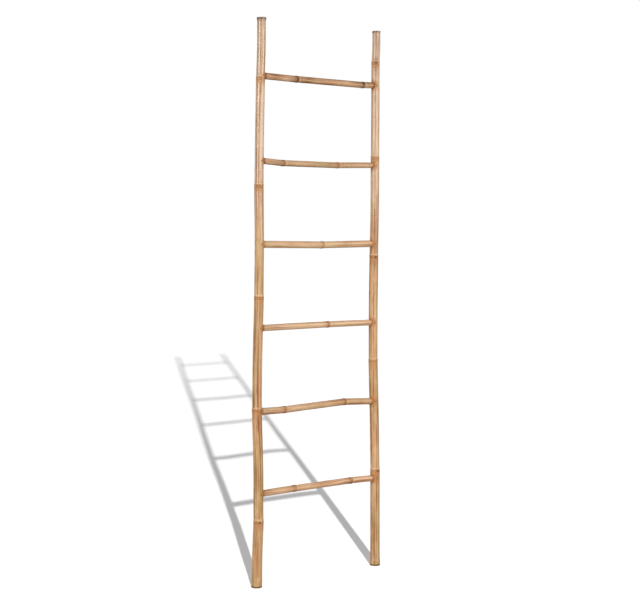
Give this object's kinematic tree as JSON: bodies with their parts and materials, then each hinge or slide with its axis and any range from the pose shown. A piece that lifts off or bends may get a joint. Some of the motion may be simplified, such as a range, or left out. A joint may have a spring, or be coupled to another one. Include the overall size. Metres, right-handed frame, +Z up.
{
  "type": "blanket ladder",
  "caption": "Leaning ladder of natural bamboo: two tall poles with thin round rungs pinned into them, for hanging blankets or towels.",
  "frame": {"origin": "on the floor, midway between the two poles' feet, as the ladder stands upright", "axes": "+X along the rungs from the left pole to the right pole, -Y the front, +Z up along the poles"},
  "size_m": [0.5074, 0.041, 1.7503],
  "materials": {
    "pole_bamboo": "natural bamboo skin, satin, with darker nodes",
    "rung_bamboo": "natural bamboo skin, satin, paler than the poles",
    "pin_bamboo": "whittled bamboo, end grain, darkened"
  },
  "bodies": {
    "root": {"left_pole": "pole_bamboo", "right_pole": "pole_bamboo", "rung_1": "rung_bamboo", "rung_2": "rung_bamboo", "rung_3": "rung_bamboo", "rung_4": "rung_bamboo", "rung_5": "rung_bamboo", "rung_6": "rung_bamboo", "pin_1_left": "pin_bamboo", "pin_1_right": "pin_bamboo", "pin_2_left": "pin_bamboo", "pin_2_right": "pin_bamboo", "pin_3_left": "pin_bamboo", "pin_3_right": "pin_bamboo", "pin_4_left": "pin_bamboo", "pin_4_right": "pin_bamboo", "pin_5_left": "pin_bamboo", "pin_5_right": "pin_bamboo", "pin_6_left": "pin_bamboo", "pin_6_right": "pin_bamboo"}
  },
  "joints": []
}
